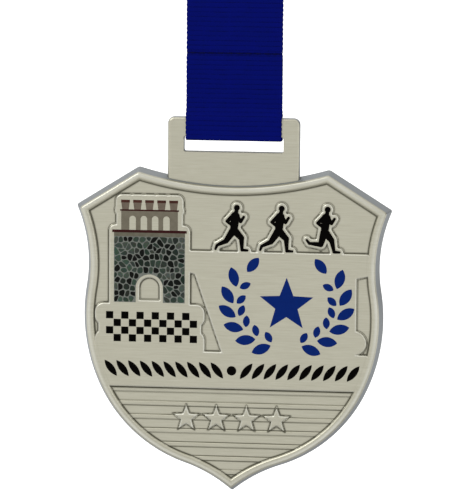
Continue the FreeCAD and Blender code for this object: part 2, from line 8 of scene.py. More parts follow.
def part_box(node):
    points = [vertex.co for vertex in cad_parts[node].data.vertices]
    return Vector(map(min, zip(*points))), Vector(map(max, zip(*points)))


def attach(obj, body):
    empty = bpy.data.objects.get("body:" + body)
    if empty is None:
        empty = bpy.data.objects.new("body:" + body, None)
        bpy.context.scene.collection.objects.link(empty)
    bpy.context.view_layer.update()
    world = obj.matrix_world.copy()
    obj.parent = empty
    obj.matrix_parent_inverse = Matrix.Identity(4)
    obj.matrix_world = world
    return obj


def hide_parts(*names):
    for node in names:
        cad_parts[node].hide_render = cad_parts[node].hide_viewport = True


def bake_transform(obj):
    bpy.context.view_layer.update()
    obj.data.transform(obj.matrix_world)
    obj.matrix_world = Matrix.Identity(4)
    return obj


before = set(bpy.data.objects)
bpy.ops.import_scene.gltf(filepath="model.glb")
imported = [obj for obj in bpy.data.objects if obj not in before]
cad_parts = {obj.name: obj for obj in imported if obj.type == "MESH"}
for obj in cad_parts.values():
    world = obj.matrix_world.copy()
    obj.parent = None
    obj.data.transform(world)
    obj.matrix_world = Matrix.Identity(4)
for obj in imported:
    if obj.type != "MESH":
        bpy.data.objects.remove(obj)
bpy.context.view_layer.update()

# Camera -----------------------------------------------------------------------------------
# A long lens a little above the medal and a little to its right, so that the top and right
# walls show. The frame ends part-way up the ribbon, below the wound-up length.
def in_scene(name, data):
    """A new object, linked to the scene."""
    piece = bpy.data.objects.new(name, data)
    bpy.context.scene.collection.objects.link(piece)
    return piece


medal_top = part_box("medal_casting")[1].z
aim = Vector((-0.00175, -0.005, medal_top - 0.03445))
camera_azimuth, camera_elevation, camera_roll, camera_reach = (
    math.radians(6.0), math.radians(8.6), math.radians(0.38), 0.90)
towards_camera = Vector((
    math.sin(camera_azimuth) * math.cos(camera_elevation),
    -math.cos(camera_azimuth) * math.cos(camera_elevation),
    math.sin(camera_elevation)))
lens = bpy.data.cameras.new("camera")
lens.angle = math.radians(8.243)
lens.clip_start = 0.01
camera = in_scene("camera", lens)
bpy.context.scene.camera = camera
camera.location = aim + towards_camera * camera_reach
camera.rotation_mode = "QUATERNION"
camera.rotation_quaternion = (
    (-towards_camera).to_track_quat("-Z", "Y") @ Quaternion((0.0, 0.0, 1.0), camera_roll))

# Neck ribbon ------------------------------------------------------------------------------
# One 25 mm grosgrain tape, doubled. It is three pieces, because a piece can bend at one joint:
# the wound length with the swing above, the twisting stretch, and the turn round the bar.
strap_y = (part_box("strap_upper")[0].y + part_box("strap_upper")[1].y) / 2 * 1000
bar_z = medal_top * 1000 - 2.5
tape_half, tape_layer = 12.5, 0.2
rib_pitch = 1.23
seam_z = bar_z + 19.1
split_z = -55.0


def shaped(name, verts, faces, **values):
    """A mesh with its point attributes, each one number or three to a point."""
    mesh = bpy.data.meshes.new(name)
    mesh.from_pydata(verts, [], faces)
    for label, numbers in values.items():
        numbers = np.array(numbers, np.float32)
        kind, field = ("FLOAT", "value") if numbers.ndim == 1 else ("FLOAT_VECTOR", "vector")
        mesh.attributes.new(label, kind, "POINT").data.foreach_set(field, numbers.reshape(-1))
    return mesh


def tape_mesh(name, path, step, columns):
    """A closed strip of ribbed tape along a path of (y, z) points, in millimetres, and its length."""
    path = np.array(path, float)
    runs = np.hypot(*np.diff(path, axis=0).T)
    along = np.concatenate([[0], np.cumsum(runs)])
    rows = int(along[-1] / step) + 1
    s = np.linspace(0, along[-1], rows)
    line = np.stack([np.interp(s, along, path[:, 0]), np.interp(s, along, path[:, 1])], 1)
    tangent = np.gradient(line, axis=0)
    tangent /= np.linalg.norm(tangent, axis=1)[:, None]
    normal = np.stack([-tangent[:, 1], tangent[:, 0]], 1)
    edge = np.sin(np.linspace(-math.pi / 2, math.pi / 2, columns))
    u = 0.35 * edge + 0.65 * np.linspace(-1, 1, columns)
    wander = np.array([[noise.noise((a * 2.2, b * 0.16, 3.0)) for a in u] for b in s[::8]])
    wander = np.stack([np.interp(s, s[::8], wander[:, c]) for c in range(columns)], 1)
    bump = np.abs(np.cos(math.pi * (s[:, None] / rib_pitch + 0.10 * wander))) ** 0.55
    thin = np.clip((1 - np.abs(u)) * tape_half / 0.35, 0, 1)
    pinch = np.exp(-((line[:, 1] - seam_z) / 0.40) ** 2)[:, None]
    bump = bump * (1 - 0.95 * pinch)
    lift = (0.10 + 0.06 * bump) * (0.35 + 0.65 * np.sqrt(thin))[None, :] + 0.012 * wander
    lift = lift * (1 - 0.35 * pinch)
    x = u[None, :] * (tape_half - 0.16 * (1 - bump) * (thin < 0.9)[None, :]) + 0.05 * wander
    centre = np.repeat(line[:, None, :], columns, 1)
    front = centre + normal[:, None, :] * lift[..., None]
    rear = centre - normal[:, None, :] * lift[..., None]
    ring = np.concatenate([
        np.concatenate([x[..., None], front], 2),
        np.concatenate([x[..., None], rear], 2)[:, ::-1]], 1)
    count = 2 * columns
    ids = np.arange(rows * count).reshape(rows, count)
    quads = np.stack([ids[:-1], ids[1:], np.roll(ids[1:], -1, 1), np.roll(ids[:-1], -1, 1)], -1)
    faces = quads.reshape(-1, 4).tolist()
    for row in (0, rows - 1):
        for c in range(columns - 1):
            cap = [ids[row, c], ids[row, c + 1], ids[row, count - 2 - c], ids[row, count - 1 - c]]
            faces.append([int(i) for i in (cap if row == 0 else cap[::-1])])
    weave = np.stack([
        np.concatenate([x, x[:, ::-1]], 1), np.repeat(s[:, None], count, 1),
        np.concatenate([bump, bump[:, ::-1]], 1)], -1)
    mesh = shaped(name, (ring.reshape(-1, 3) / 1000).tolist(), faces, weave=weave.reshape(-1, 3))
    return mesh, along[-1]


def joined(name, meshes, weld=0.0):
    """One object from several meshes, faces outward and smooth, near vertices welded."""
    shell = bmesh.new()
    for mesh in meshes:
        shell.from_mesh(mesh)
        bpy.data.meshes.remove(mesh)
    if weld:
        bmesh.ops.remove_doubles(shell, verts=shell.verts, dist=weld)
    bmesh.ops.recalc_face_normals(shell, faces=shell.faces)
    made = bpy.data.meshes.new(name)
    shell.to_mesh(made)
    shell.free()
    made.shade_smooth()
    return in_scene(name, made)


wide_eye, narrow_eye, hank_drop, turns = 3.25, 0.6, 48.0, 3.0
outer_build, build_per_turn, steps_per_turn = 2.78, 0.79, 160
leg_share, bend_share = 1.4, 0.6
half_way = leg_share + bend_share
wound = []
for i in range(int(turns * steps_per_turn) + 1):
    w = i / steps_per_turn
    build = outer_build - build_per_turn * w
    wide, narrow = wide_eye + build, narrow_eye + build
    spread = math.acos((wide - narrow) / hank_drop)
    low = (narrow * math.sin(spread), -hank_drop - narrow * math.cos(spread))
    high = (wide * math.sin(spread), -wide * math.cos(spread))
    side = w % 1.0 * 2 * half_way
    if side < leg_share:
        k = side / leg_share
        wound.append((-low[0] - (high[0] - low[0]) * k, low[1] + (high[1] - low[1]) * k))
    elif side < half_way:
        angle = spread + (2 * math.pi - 2 * spread) * (side - leg_share) / bend_share
        wound.append((-wide * math.sin(angle), -wide * math.cos(angle)))
    elif side < half_way + leg_share:
        k = (side - half_way) / leg_share
        wound.append((high[0] + (low[0] - high[0]) * k, high[1] + (low[1] - high[1]) * k))
    else:
        angle = spread * (1 - 2 * (side - half_way - leg_share) / bend_share)
        wound.append((narrow * math.sin(angle), -hank_drop - narrow * math.cos(angle)))
lead_in = [(strap_y, split_z), (strap_y, split_z + 1.5), (strap_y, -50.5)]
centreline = np.array(lead_in + wound[6:])
flow = np.gradient(centreline, axis=0)
flow /= np.linalg.norm(flow, axis=1)[:, None]
across = np.stack([-flow[:, 1], flow[:, 0]], 1)
fold_end = centreline[-1]
fold = [fold_end + tape_layer * (math.cos(a) * across[-1] + math.sin(a) * flow[-1])
        for a in np.linspace(0.4, math.pi - 0.4, 6)]
there_and_back = np.concatenate([
    centreline + across * tape_layer, np.array(fold), (centreline - across * tape_layer)[::-1]])
wound_mesh, wound_length = tape_mesh("ribbon_wound", there_and_back, 0.28, 14)
ribbon_wound = joined("ribbon_wound", [wound_mesh])

strips = [tape_mesh("ribbon_twist", [(strap_y + side * tape_layer, split_z),
                                     (strap_y + side * tape_layer, seam_z)], 0.14, 44)
          for side in (-1, 1)]
ribbon_twist = joined("ribbon_twist", [mesh for mesh, _ in strips])

bar_half_y, bar_half_z, turn_gap = 1.25 + 0.32, 2.5 + 0.87, 0.5
half_turn = [(-tape_layer, seam_z - bar_z), (-tape_layer, 5.2)]
for k in np.linspace(0, 1, 12)[1:]:
    ease = k * k * (3 - 2 * k)
    half_turn.append((-tape_layer - (bar_half_y - tape_layer) * ease, 5.2 - 2.7 * k))
half_turn.append((-bar_half_y, -bar_half_z + turn_gap))
for a in np.linspace(0, math.pi / 2, 9)[1:]:
    half_turn.append((-bar_half_y + turn_gap * (1 - math.cos(a)),
                      -bar_half_z + turn_gap * (1 - math.sin(a))))
turn_path = half_turn + [(-y, z) for y, z in half_turn[::-1]]
turn_mesh, turn_length = tape_mesh(
    "ribbon_turn", [(strap_y + y, bar_z + z) for y, z in turn_path], 0.14, 44)
ribbon_turn = joined("ribbon_turn", [turn_mesh])

# Ribbon cloth: each rib is a bundle of weft threads, with painted shade darker in the groove,
# fine warp threads over it, and a soft sheen.
def node_maker(tree):
    """A function that adds a node, or takes one that is there, and fills its sockets.

    Each socket gets a value, or a link if what it is given is another node's output.
    """
    def node(kind, sockets, **settings):
        made = tree.nodes.new(kind) if isinstance(kind, str) else kind
        for setting, value in settings.items():
            setattr(made, setting, value)
        for socket, value in sockets.items():
            if isinstance(value, bpy.types.NodeSocket):
                tree.links.new(value, made.inputs[socket])
            else:
                made.inputs[socket].default_value = value
        return made
    return node


def material(name):
    """A new material, the maker of its nodes, and its shader."""
    made = bpy.data.materials.new(name)
    made.use_nodes = True
    return made, node_maker(made.node_tree), made.node_tree.nodes["Principled BSDF"]


def cloudy(node, place, scale, detail):
    """A noise texture."""
    return node("ShaderNodeTexNoise", {"Vector": place, "Scale": scale, "Detail": detail})


def mixed(node, factor, first, second, blend="MIX"):
    """The colour between two others."""
    made = node("ShaderNodeMix", {"Factor": factor, "A": first, "B": second},
                data_type="RGBA", blend_type=blend)
    return made.outputs["Result"]


def ramped(node, factor, *stops):
    """A colour ramp through stops of a position and a colour."""
    made = node("ShaderNodeValToRGB", {"Fac": factor})
    elements = made.color_ramp.elements
    for i in (0, -1):
        elements[i].position = stops[i][0]
        elements[i].color = (*stops[i][1], 1)
    for position, colour in stops[1:-1]:
        elements.new(position).color = (*colour, 1)
    return made.outputs["Color"]


def bumped(node, height, strength, distance):
    """The normal of a surface with small relief."""
    made = node("ShaderNodeBump", {"Height": height, "Strength": strength, "Distance": distance})
    return made.outputs["Normal"]


cloth, node, shader = material("navy_grosgrain")
weave = node("ShaderNodeAttribute", {}, attribute_name="weave").outputs["Vector"]
parts = node("ShaderNodeSeparateXYZ", {0: weave})
stretch = node("ShaderNodeVectorMath", {0: weave, 1: (5.0, 1.6, 1.0)}, operation="MULTIPLY")
warp = cloudy(node, stretch.outputs[0], 1.0, 3.0)
patch = cloudy(node, weave, 0.35, 4.0)
# painted shade: the rib's height lightens the colour on the ridges and darkens it in the groove
tone = node("ShaderNodeMath", {0: warp.outputs["Fac"], 1: 0.85, 2: parts.outputs["Z"]},
            operation="MULTIPLY_ADD")
dye_and_groove_shade = ramped(node, tone.outputs[0], (0.30, (0.0, 0.0006, 0.020)), (1.0, (0.0002, 0.0024, 0.100)))
node(shader, {
    "Base Color": mixed(node, 0.25, dye_and_groove_shade, patch.outputs["Color"], "MULTIPLY"),
    "Normal": bumped(node, warp.outputs["Fac"], 0.5, 0.0001),
    "Roughness": 0.75, "Sheen Weight": 0.004, "Sheen Roughness": 0.4, "Specular IOR Level": 0.03})

for piece in (ribbon_wound, ribbon_twist, ribbon_turn):
    piece.data.materials.append(cloth)
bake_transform(ribbon_wound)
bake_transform(ribbon_twist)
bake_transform(ribbon_turn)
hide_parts("ribbon_hank")
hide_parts("strap_upper", "strap_lower")
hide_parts("ribbon_bight")

# Seam stitches ----------------------------------------------------------------------------
# A row of short thread loops that closes the ribbon above the hanger, on both faces. Each
# stitch is one plump lozenge of thread, a little askew.
stitch_row = bpy.data.node_groups.new("stitch_row", "GeometryNodeTree")
stitch_row.interface.new_socket("Geometry", in_out="INPUT", socket_type="NodeSocketGeometry")
stitch_row.interface.new_socket("Geometry", in_out="OUTPUT", socket_type="NodeSocketGeometry")
row_inputs = {}
for label, kind, value in (("Stitches", "NodeSocketInt", 10), ("Pitch", "NodeSocketFloat", 0.0024),
                           ("Length", "NodeSocketFloat", 0.0017), ("Thread", "NodeSocketFloat", 0.00026),
                           ("Strap depth", "NodeSocketFloat", 0.00056), ("Askew", "NodeSocketFloat", 0.05),
                           ("Seed", "NodeSocketInt", 4), ("Material", "NodeSocketMaterial", None)):
    socket = stitch_row.interface.new_socket(label, in_out="INPUT", socket_type=kind)
    if value is not None:
        socket.default_value = value
    row_inputs[label] = socket.identifier
node = node_maker(stitch_row)
given = node("NodeGroupInput", {}).outputs
last = node("ShaderNodeMath", {0: given["Stitches"], 1: 1.0}, operation="SUBTRACT")
span = node("ShaderNodeMath", {0: last.outputs[0], 1: given["Pitch"]}, operation="MULTIPLY")
half_span = node("ShaderNodeMath", {0: span.outputs[0], 1: -0.5}, operation="MULTIPLY")
begin = node("ShaderNodeCombineXYZ", {"X": half_span.outputs[0]})
step = node("ShaderNodeCombineXYZ", {"X": given["Pitch"]})
line = node("GeometryNodeMeshLine", {
    "Count": given["Stitches"], "Offset": step.outputs[0], "Start Location": begin.outputs[0]})
thread = node("GeometryNodeMeshUVSphere", {"Segments": 14, "Rings": 10, "Radius": 0.5})
shape = node("ShaderNodeCombineXYZ", {"X": given["Length"], "Y": given["Thread"], "Z": given["Thread"]})
lozenge = node("GeometryNodeTransform", {"Geometry": thread.outputs["Mesh"], "Scale": shape.outputs[0]})
opposite = node("ShaderNodeMath", {0: given["Askew"], 1: -1.0}, operation="MULTIPLY")
tilt = node("FunctionNodeRandomValue", {2: opposite.outputs[0], 3: given["Askew"], "Seed": given["Seed"]},
            data_type="FLOAT")
turned = node("ShaderNodeCombineXYZ", {"Y": tilt.outputs[1]})
placed = node("GeometryNodeInstanceOnPoints", {
    "Points": line.outputs["Mesh"], "Instance": lozenge.outputs["Geometry"], "Rotation": turned.outputs[0]})
both = node("GeometryNodeJoinGeometry", {})
for share in (-0.5, 0.5):
    depth = node("ShaderNodeMath", {0: given["Strap depth"], 1: share}, operation="MULTIPLY")
    offset = node("ShaderNodeCombineXYZ", {"Y": depth.outputs[0]})
    moved = node("GeometryNodeTransform", {
        "Geometry": placed.outputs["Instances"], "Translation": offset.outputs[0]})
    node(both, {"Geometry": moved.outputs["Geometry"]})
real = node("GeometryNodeRealizeInstances", {"Geometry": both.outputs["Geometry"]})
coat = node("GeometryNodeSetMaterial", {
    "Geometry": real.outputs["Geometry"], "Material": given["Material"]})
node("NodeGroupOutput", {"Geometry": coat.outputs["Geometry"]})

yarn, node, shader = material("stitch_thread")
place = node("ShaderNodeTexCoord", {}).outputs["Object"]
ply = node("ShaderNodeTexWave", {"Vector": place, "Scale": 1400.0, "Distortion": 1.5},
           bands_direction="DIAGONAL").outputs["Fac"]
node(shader, {
    "Base Color": mixed(node, ply, (0.0, 0.0006, 0.016, 1), (0.0, 0.0012, 0.042, 1)),
    "Normal": bumped(node, ply, 0.4, 0.00003),
    "Roughness": 0.6, "Specular IOR Level": 0.06})

seam_maker = in_scene("seam_maker", bpy.data.meshes.new("seam_seed"))
maker = seam_maker.modifiers.new("stitches", "NODES")
maker.node_group = stitch_row
maker[row_inputs["Material"]] = yarn
made = bpy.data.meshes.new_from_object(seam_maker.evaluated_get(bpy.context.evaluated_depsgraph_get()))
seam_maker.modifiers.clear()
bpy.data.objects.remove(seam_maker)
made.transform(Matrix.Translation((0, strap_y / 1000, seam_z / 1000)))
seam_thread = joined("seam_thread", [made])
seam_thread.data.materials.append(yarn)
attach(seam_thread, "lower_strap")
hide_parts("seam_stitching")

# Hank tie ---------------------------------------------------------------------------------
# A knitted elastic band round the wound ribbon. Its face is seven soft cords side by side, its
# edges are rolled, and it follows the taper of the wound length.
tie_low, tie_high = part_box("hank_tie")[0].z * 1000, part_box("hank_tie")[1].z * 1000
tie_corner, tie_inner, tie_outer, tie_cords, cord_bulge = 0.5, 0.12, 0.58, 7, 0.09
path = []
for corner_x, corner_y, first in ((1, 1, 0), (-1, 1, 90), (-1, -1, 180), (1, -1, 270)):
    for k in range(9):
        angle = math.radians(first + 90 * k / 8)
        path.append((corner_x, corner_y, math.cos(angle), math.sin(angle)))
    ahead = (-corner_y, corner_x)
    for k in range(1, 30):
        share = k / 30
        path.append((corner_x + (ahead[0] - corner_x) * share, corner_y + (ahead[1] - corner_y) * share,
                     math.cos(math.radians(first + 90)), math.sin(math.radians(first + 90))))
section = [(tie_inner, 0.04), (tie_inner + 0.1, 0.0), (tie_outer - 0.12, 0.0)]
for k in range(57):
    share = 0.02 + 0.96 * k / 56
    section.append((tie_outer + cord_bulge * abs(math.sin(math.pi * tie_cords * share)) ** 0.6, share))
section += [(tie_outer - 0.12, 1.0), (tie_inner + 0.1, 1.0), (tie_inner, 0.96), (tie_inner, 0.5)]
verts, faces, knit = [], [], []
for i, (side_x, side_y, out_x, out_y) in enumerate(path):
    for offset, share in section:
        level = tie_low + (tie_high - tie_low) * share
        half_y = 6.45 + 2.65 * level / hank_drop
        reach = tie_corner + offset
        verts.append(((side_x * (tape_half - tie_corner) + out_x * reach) / 1000,
                      (side_y * (half_y - tie_corner) + out_y * reach) / 1000, level / 1000))
        knit.append((i * 0.8, share, offset))
size = len(section)
for i in range(len(path)):
    first, after = i * size, (i + 1) % len(path) * size
    for k in range(size):
        n = (k + 1) % size
        faces.append((first + k, after + k, after + n, first + n))
elastic_tie = joined("elastic_tie", [shaped("elastic_tie", verts, faces, knit=knit)])
elastic, node, shader = material("tie_elastic")
knitting = node("ShaderNodeAttribute", {}, attribute_name="knit").outputs["Vector"]
parts = node("ShaderNodeSeparateXYZ", {0: knitting})
place = node("ShaderNodeTexCoord", {}).outputs["Object"]
loops = node("ShaderNodeTexWave", {"Vector": place, "Scale": 420.0, "Distortion": 2.0})
fuzz = cloudy(node, place, 2600.0, 3.0)
# painted shade: the cords are darker down in the valleys between them and lighter on their crests
painted_cord_shade = node("ShaderNodeMapRange", {
    "Value": parts.outputs["Z"], "From Min": tie_outer, "From Max": tie_outer + cord_bulge})
tone = node("ShaderNodeMath", {0: loops.outputs["Fac"], 1: 0.5, 2: painted_cord_shade.outputs["Result"]},
            operation="MULTIPLY_ADD")
node(shader, {
    "Base Color": ramped(node, tone.outputs[0], (0.0, (0.004, 0.004, 0.006)), (1.0, (0.032, 0.033, 0.040))),
    "Normal": bumped(node, fuzz.outputs["Fac"], 0.5, 0.00008),
    "Roughness": 0.8, "Specular IOR Level": 0.15})
elastic_tie.data.materials.append(elastic)
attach(elastic_tie, "wound_ribbon")
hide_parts("hank_tie")

# Medal casting ----------------------------------------------------------------------------
# One die-cast shield. Sizes are in millimetres from the middle of the bar; depth is measured
# from the strap's plane, and the picture side is at the lowest depth.
peak, shoulder, top_dip = (24.8, -10.7), (41.3, -21.05), -14.4
flank = [(38.65, -42.4), (34.6, -69.85), (12.6, -89.1), (0.0, -96.25)]
flank_lean = math.radians(23.6)
back_depth, rim_depth, field_depth = 1.25, -2.75, -2.0
rim_height, ground_height, rib_height = 0.75, 0.65, 0.35
wall_draft, rim_width, rim_round, edge_round, rib_round, panel_inset = 1.05, 2.05, 0.6, 0.5, 0.3, 3.22


def outline(inset):
    """The shield's outline drawn in by an even distance, in about 1100 evenly spaced points."""
    arcs, start = [], shoulder
    heading = (-math.sin(flank_lean), -math.cos(flank_lean))
    for end in flank:
        chord = (end[0] - start[0], end[1] - start[1])
        reach = -chord[0] * heading[1] + chord[1] * heading[0]
        radius = (chord[0] ** 2 + chord[1] ** 2) / (2 * reach)
        centre = (start[0] - heading[1] * radius, start[1] + heading[0] * radius)
        arcs.append((centre, radius, start, end))
        heading = ((centre[1] - end[1]) / radius, (end[0] - centre[0]) / radius)
        start = end
    sag = peak[1] - top_dip
    top_radius = (peak[0] ** 2 + sag ** 2) / (2 * sag)
    top_centre = (0.0, top_dip + top_radius)
    run = math.dist(peak, shoulder)
    slope = ((shoulder[0] - peak[0]) / run, (shoulder[1] - peak[1]) / run)
    origin = (peak[0] + slope[1] * inset, peak[1] - slope[0] * inset)

    def crossing(centre, radius, near):
        rel = (origin[0] - centre[0], origin[1] - centre[1])
        along = rel[0] * slope[0] + rel[1] * slope[1]
        root = math.sqrt(along ** 2 - rel[0] ** 2 - rel[1] ** 2 + radius ** 2)
        ends = [(origin[0] + slope[0] * k, origin[1] + slope[1] * k)
                for k in (-along - root, -along + root)]
        return min(ends, key=lambda p: math.dist(p, near))

    stops = [crossing(arcs[0][0], arcs[0][1] + inset, shoulder)]
    for centre, radius, _, end in arcs[:-1]:
        share = 1 + inset / radius
        stops.append((centre[0] + (end[0] - centre[0]) * share,
                      centre[1] + (end[1] - centre[1]) * share))
    centre, radius = arcs[-1][:2]
    stops.append((0.0, centre[1] + math.sqrt((radius + inset) ** 2 - centre[0] ** 2)))
    high = crossing(top_centre, top_radius + inset, peak)

    def sweep(about, start, end, count):
        first = math.atan2(start[1] - about[1], start[0] - about[0])
        last = math.atan2(end[1] - about[1], end[0] - about[0])
        turn = (last - first + math.pi) % (2 * math.pi) - math.pi
        radius = math.dist(about, start)
        return [(about[0] + radius * math.cos(first + turn * k / count),
                 about[1] + radius * math.sin(first + turn * k / count)) for k in range(count)]

    half = sweep(top_centre, (0.0, top_dip - inset), high, 100)
    half += [(high[0] + (stops[0][0] - high[0]) * k / 76, high[1] + (stops[0][1] - high[1]) * k / 76)
             for k in range(76)]
    for (about, _, _, _), first, last, count in zip(arcs, stops, stops[1:], (88, 112, 116, 60)):
        half += sweep(about, first, last, count)
    loop = half + [stops[-1]] + [(-x, z) for x, z in half[:0:-1]]
    loop = np.array(loop)
    weights = np.exp(-0.5 * (np.arange(-6, 7) / 1.6) ** 2)
    weights /= weights.sum()
    return sum(w * np.roll(loop, k, 0) for w, k in zip(weights, range(-6, 7)))


def polygon_distance(points, x, z):
    """Signed distance from (x, z) to a closed polygon, below zero inside."""
    points = np.asarray(points, float)
    best, inside = np.full(x.shape, 1e9), np.zeros(x.shape, bool)
    for (ax, az), (bx, bz) in zip(points, np.roll(points, -1, 0)):
        ex, ez = bx - ax, bz - az
        k = np.clip(((x - ax) * ex + (z - az) * ez) / (ex * ex + ez * ez + 1e-12), 0, 1)
        best = np.minimum(best, (x - ax - ex * k) ** 2 + (z - az - ez * k) ** 2)
        crosses = (az > z) != (bz > z)
        inside ^= crosses & (x < ex * (z - az) / (ez + 1e-12) + ax)
    return np.where(inside, -1, 1) * np.sqrt(best)


def box_distance(low_x, high_x, low_z, high_z, radius, x, z):
    """Signed distance to a rounded rectangle."""
    dx = np.abs(x - (low_x + high_x) / 2) - (high_x - low_x) / 2 + radius
    dz = np.abs(z - (low_z + high_z) / 2) - (high_z - low_z) / 2 + radius
    outside = np.hypot(np.maximum(dx, 0), np.maximum(dz, 0))
    return outside + np.minimum(np.maximum(dx, dz), 0) - radius


def drawn_in(points, inset):
    """A polygon with every side moved in, listed counter-clockwise."""
    made = []
    for before, here, after in zip(points[-1:] + points[:-1], points, points[1:] + points[:1]):
        u = Vector((here[0] - before[0], here[1] - before[1])).normalized()
        v = Vector((after[0] - here[0], after[1] - here[1])).normalized()
        normal = Vector((-u.y - v.y, u.x + v.x)).normalized()
        cosine = normal.dot(Vector((-u.y, u.x)))
        made.append((here[0] + normal.x * inset / cosine, here[1] + normal.y * inset / cosine))
    return made


# the runners' heads and limbs: (x, z, radius) at both ends, from the middle of the hips
runner_head = (0.75, 6.15, 0.78)
runner_body = [
    (0.0, 0.2, 0.80, 0.35, 3.9, 1.00), (0.45, 4.3, 0.55, 0.7, 5.6, 0.40),
    (-0.15, 4.1, 0.52, -1.75, 2.6, 0.38), (-1.75, 2.6, 0.38, -0.55, 1.55, 0.30),
    (0.8, 4.0, 0.50, 1.75, 2.55, 0.38), (1.75, 2.55, 0.38, 2.55, 3.75, 0.30)]
long_stride = [
    (-0.2, 0.1, 0.85, -2.0, -2.6, 0.58), (-2.0, -2.6, 0.55, -4.35, -3.75, 0.32),
    (-4.35, -3.75, 0.34, -4.75, -4.75, 0.26), (0.25, 0.1, 0.85, 2.0, -1.75, 0.62),
    (2.0, -1.75, 0.58, 2.15, -4.75, 0.34), (2.15, -4.85, 0.36, 3.55, -4.95, 0.26)]
heel_up = [
    (-0.1, 0.1, 0.85, -0.95, -3.0, 0.58), (-0.95, -3.0, 0.55, -3.9, -2.75, 0.32),
    (-3.9, -2.75, 0.34, -4.6, -1.9, 0.26), (0.25, 0.1, 0.85, 1.85, -1.85, 0.62),
    (1.85, -1.85, 0.58, 2.5, -4.75, 0.34), (2.5, -4.85, 0.36, 3.9, -4.95, 0.26)]
runners = [(0.35, -26.85, long_stride), (12.0, -26.85, long_stride), (23.9, -26.85, heel_up)]
runner_girth, runner_ground = 1.2, 0.8
tower_x, tower_ground = -21.65, 1.45
wall_half, wall_low, wall_high = 9.3, -46.1, -28.75
gate_half, gate_edge, gate_foot, gate_spring = 2.55, 3.55, -45.4, -42.25
gallery_half, gallery_top, course_half, course_top = 7.4, -22.1, 7.75, -21.7
panel_top, star_level, star_pitch, star_size = -68.6, -76.5, 7.9, 3.8
rib_gap, rib_tall = 3.58, 1.25


def ground_distance(x, z):
    """Signed distance to the raised ground round the pictures."""
    boxes = [
        (tower_x - wall_half, tower_x + wall_half, -47.0, -27.05, 0.3, tower_ground),
        (tower_x - gallery_half, tower_x + gallery_half, -30.0, gallery_top, 0.2, tower_ground),
        (tower_x - course_half, tower_x + course_half, gallery_top, course_top, 0.1, tower_ground),
        (-36.1, -7.0, -52.4, -46.3, 2.4, 0.0), (-35.2, -7.9, -59.5, -49.0, 2.0, 0.0),
        (-36.1, -7.0, -60.5, -53.4, 2.4, 0.0), (-36.9, 36.4, -66.0, -58.6, 1.8, 0.0),
        (-45.0, 45.0, panel_top, -61.2, 0.05, 0.0)]
    for i in range(5):
        x0 = tower_x - 6.3 + 3.15 * i
        boxes.append((x0 - 1.15, x0 + 1.15, -22.0, -19.2, 0.2, tower_ground + 0.1))
    best = np.hypot(x - 31.9, z + 55.6) - 3.3
    for low_x, high_x, low_z, high_z, radius, grow in boxes:
        best = np.minimum(best, box_distance(low_x, high_x, low_z, high_z, radius, x, z) - grow)
    plaque = [(-2.3, -60.5), (32.5, -60.5), (32.5, -38.9), (36.2, -38.0), (35.9, -32.1),
              (-12.0, -32.1), (-12.0, -37.8), (-9.9, -38.6)]
    best = np.minimum(best, polygon_distance(drawn_in(plaque, 1.2), x, z) - 1.2)
    for at_x, at_z, legs in runners:
        best = np.minimum(best, np.hypot(x - at_x - runner_head[0], z - at_z - runner_head[1])
                          - runner_head[2] - runner_ground)
        for x0, z0, r0, x1, z1, r1 in runner_body + legs:
            px, pz, ex, ez = x - at_x - x0, z - at_z - z0, x1 - x0, z1 - z0
            k = np.clip((px * ex + pz * ez) / (ex * ex + ez * ez), 0, 1)
            girth = (r0 + (r1 - r0) * k) * runner_girth
            limb = np.hypot(px - ex * k, pz - ez * k) - girth - runner_ground
            best = np.minimum(best, limb)
    gate = np.where(z < gate_spring, np.maximum(np.abs(x - tower_x) - gate_half, gate_foot - z),
                    np.hypot(x - tower_x, z - gate_spring) - gate_half)
    return np.maximum(best, -gate)


def star_distance(x, z):
    """Signed distance to the nearest of the four raised stars."""
    best = np.full(x.shape, 1e9)
    for i in range(4):
        middle_x = (i - 1.5) * star_pitch
        points = []
        for k in range(10):
            radius = star_size * (1.0 if k % 2 == 0 else 0.42)
            angle = math.pi / 2 + k * math.pi / 5
            points.append((middle_x + radius * math.cos(angle), star_level + radius * math.sin(angle)))
        best = np.minimum(best, polygon_distance(points, x, z))
    return best


def rib_distance(z):
    """Signed distance to the level ribs across the foot panel."""
    phase = (panel_top - z) % rib_gap
    away = np.where(phase < rib_tall, -np.minimum(phase, rib_tall - phase),
                    np.minimum(phase - rib_tall, rib_gap - phase))
    return np.where(z > panel_top, 2.0, away)


def rounded_step(distance, height, reach):
    """Height of a raised shape whose upper edge is rounded and whose foot is sharp."""
    k = np.clip((distance + reach) / reach, 0, 1)
    return np.where(distance < 0, height * np.sqrt(1 - k ** 2), 0.0)


def rim_profile(t):
    """Height of the rim at a distance in from its front outline."""
    outer = np.clip(rim_round - t, 0, rim_round)
    crown = rim_height - rim_round + np.sqrt(rim_round ** 2 - outer ** 2)
    k = np.clip((t - rim_width + 0.8) / 0.8, 0, 1)
    return crown * np.sqrt(1 - k ** 2)


grid_step = 0.30
grid_x, grid_z = np.meshgrid(np.arange(-42, 42.01, grid_step), np.arange(-97, -10, grid_step))
front_outline = outline(wall_draft)
grid_t = -polygon_distance(front_outline[::3], grid_x, grid_z)
grid_ground = np.maximum(ground_distance(grid_x, grid_z), 1.2 - grid_t)
grid_star = star_distance(grid_x, grid_z)


